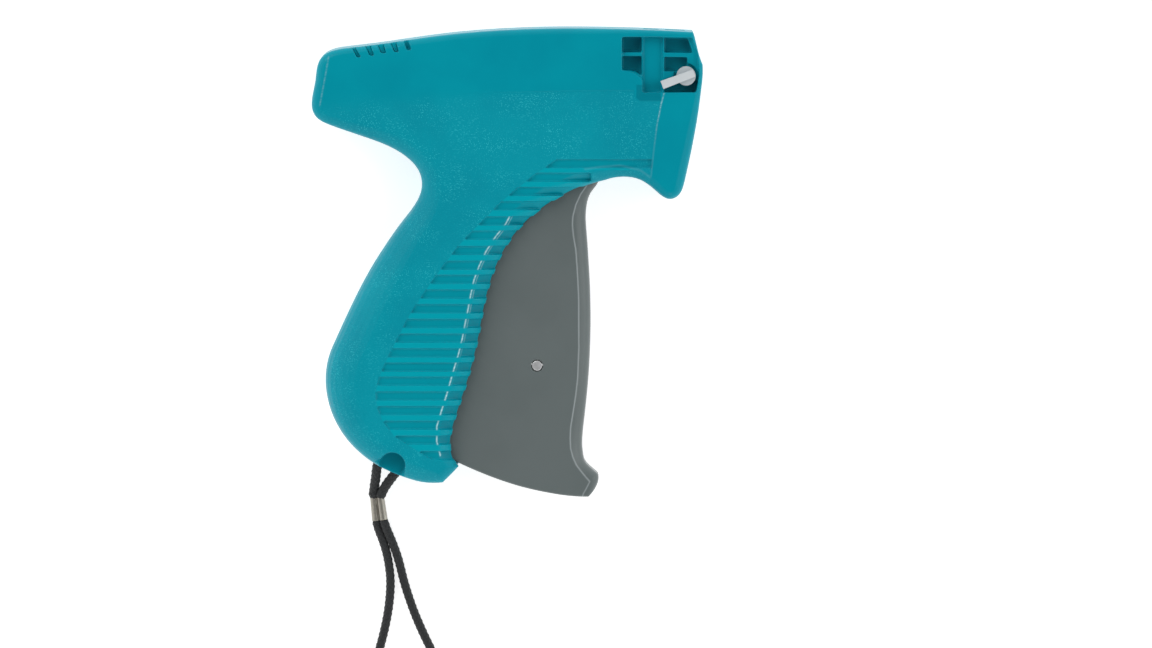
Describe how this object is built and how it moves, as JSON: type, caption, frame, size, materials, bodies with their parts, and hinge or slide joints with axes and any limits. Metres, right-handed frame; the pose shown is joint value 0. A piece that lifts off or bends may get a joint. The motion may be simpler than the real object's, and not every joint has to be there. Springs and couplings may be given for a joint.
{
  "type": "garment tag attacher",
  "caption": "Squeeze-trigger garment tag attacher: two-shell ribbed grip and barrel, trigger-driven ejector, clip feed wheel, needle lock lever and wrist lanyard.",
  "frame": {"origin": "middle of the gun's outline box in X and Y, on the flat left side that it lies on (bottom centre of the box, cord left out)", "axes": "+X towards the muzzle, +Y towards the top of the barrel, +Z through the thickness, out of the right side that carries the needle lock window"},
  "size_m": [0.1244, 0.2776, 0.0248],
  "materials": {
    "casing_teal": "moulded teal ABS, fine spark texture on the grip and barrel side, smooth front column",
    "trigger_grey": "smooth satin grey nylon",
    "steel_pin": "ground steel",
    "steel_blade": "polished spring steel",
    "acetal_white": "natural acetal",
    "acetal_black": "black acetal",
    "lever_white": "white moulded plastic",
    "rubber_stop": "black rubber",
    "cord_black": "braided polyester cord",
    "ferrule_metal": "crimped aluminium"
  },
  "bodies": {
    "casing": {"right_casing": "casing_teal", "left_casing": "casing_teal", "trigger_pivot_pin": "steel_pin", "crank_pivot_pin": "steel_pin", "spring_anchor_pin": "steel_pin", "return_spring": "steel_blade", "rod_guide": "acetal_white", "needle_seat": "acetal_white", "clip_guide": "acetal_white", "knife_blade": "steel_blade", "holding_pawl": "steel_blade", "index_arm_pin": "steel_pin", "bump_stop": "rubber_stop", "lock_lever_washer": "steel_blade", "lanyard_post": "steel_pin", "lanyard_anchor_cord": "cord_black", "lanyard_wrist_cord": "cord_black", "lanyard_ferrule": "ferrule_metal"},
    "trigger": {"trigger": "trigger_grey", "link_pin": "steel_pin"},
    "drive_link": {"drive_link": "steel_blade"},
    "drive_crank": {"drive_crank": "acetal_black", "crank_link_pin": "steel_pin"},
    "ejector_slide": {"ejector_slide": "acetal_black", "slide_cross_pin": "steel_pin", "ejector_rod": "steel_pin"},
    "feed_wheel": {"feed_wheel": "acetal_white", "feed_shaft": "steel_pin", "ratchet_wheel": "acetal_white"},
    "index_arm": {"index_arm": "steel_blade"},
    "needle_lock_lever": {"needle_lock_lever": "lever_white"}
  },
  "joints": [
    {"name": "trigger_squeeze", "type": "hinge", "parent": "casing", "child": "trigger", "pos_m": [0.02703, 0.03085, 0.012], "axis": [0, 0, -1], "range_deg": [0, 18], "stiffness_Nm_per_rad": 0.35, "springref_deg": -20.05},
    {"name": "crank_swing", "type": "hinge", "parent": "casing", "child": "drive_crank", "pos_m": [-0.01, 0.0185, 0.012], "axis": [0, 0, -1], "range_deg": [0, 45.1]},
    {"name": "link_swing", "type": "hinge", "parent": "trigger", "child": "drive_link", "pos_m": [0.00954, -0.03307, 0.012], "axis": [0, 0, 1], "range_deg": [0, 16.3]},
    {"name": "ejector_travel", "type": "slide", "parent": "casing", "child": "ejector_slide", "axis": [1, 0, 0], "range_m": [0, 0.0281], "deforming": ["return_spring"]},
    {"name": "index_swing", "type": "hinge", "parent": "casing", "child": "index_arm", "pos_m": [0.037, 0.036, 0.0215], "axis": [0, 0, 1], "range_deg": [0, 8.1]},
    {"name": "feed_wheel_turn", "type": "hinge", "parent": "casing", "child": "feed_wheel", "pos_m": [0.048, 0.0439, 0.0173], "axis": [1, 0, 0], "continuous": true},
    {"name": "needle_lock_turn", "type": "hinge", "parent": "casing", "child": "needle_lock_lever", "pos_m": [0.0569, 0.0595, 0.022], "axis": [0, 0, -1], "range_deg": [0, 100]}
  ],
  "couplings": [
    {"joint": "crank_swing", "follows": "trigger_squeeze", "ratio": 2.5},
    {"joint": "link_swing", "follows": "trigger_squeeze", "ratio": 0.9},
    {"joint": "ejector_travel", "follows": "trigger_squeeze", "m_per_rad": 0.089127},
    {"joint": "index_swing", "follows": "trigger_squeeze", "ratio": 0.44444}
  ]
}
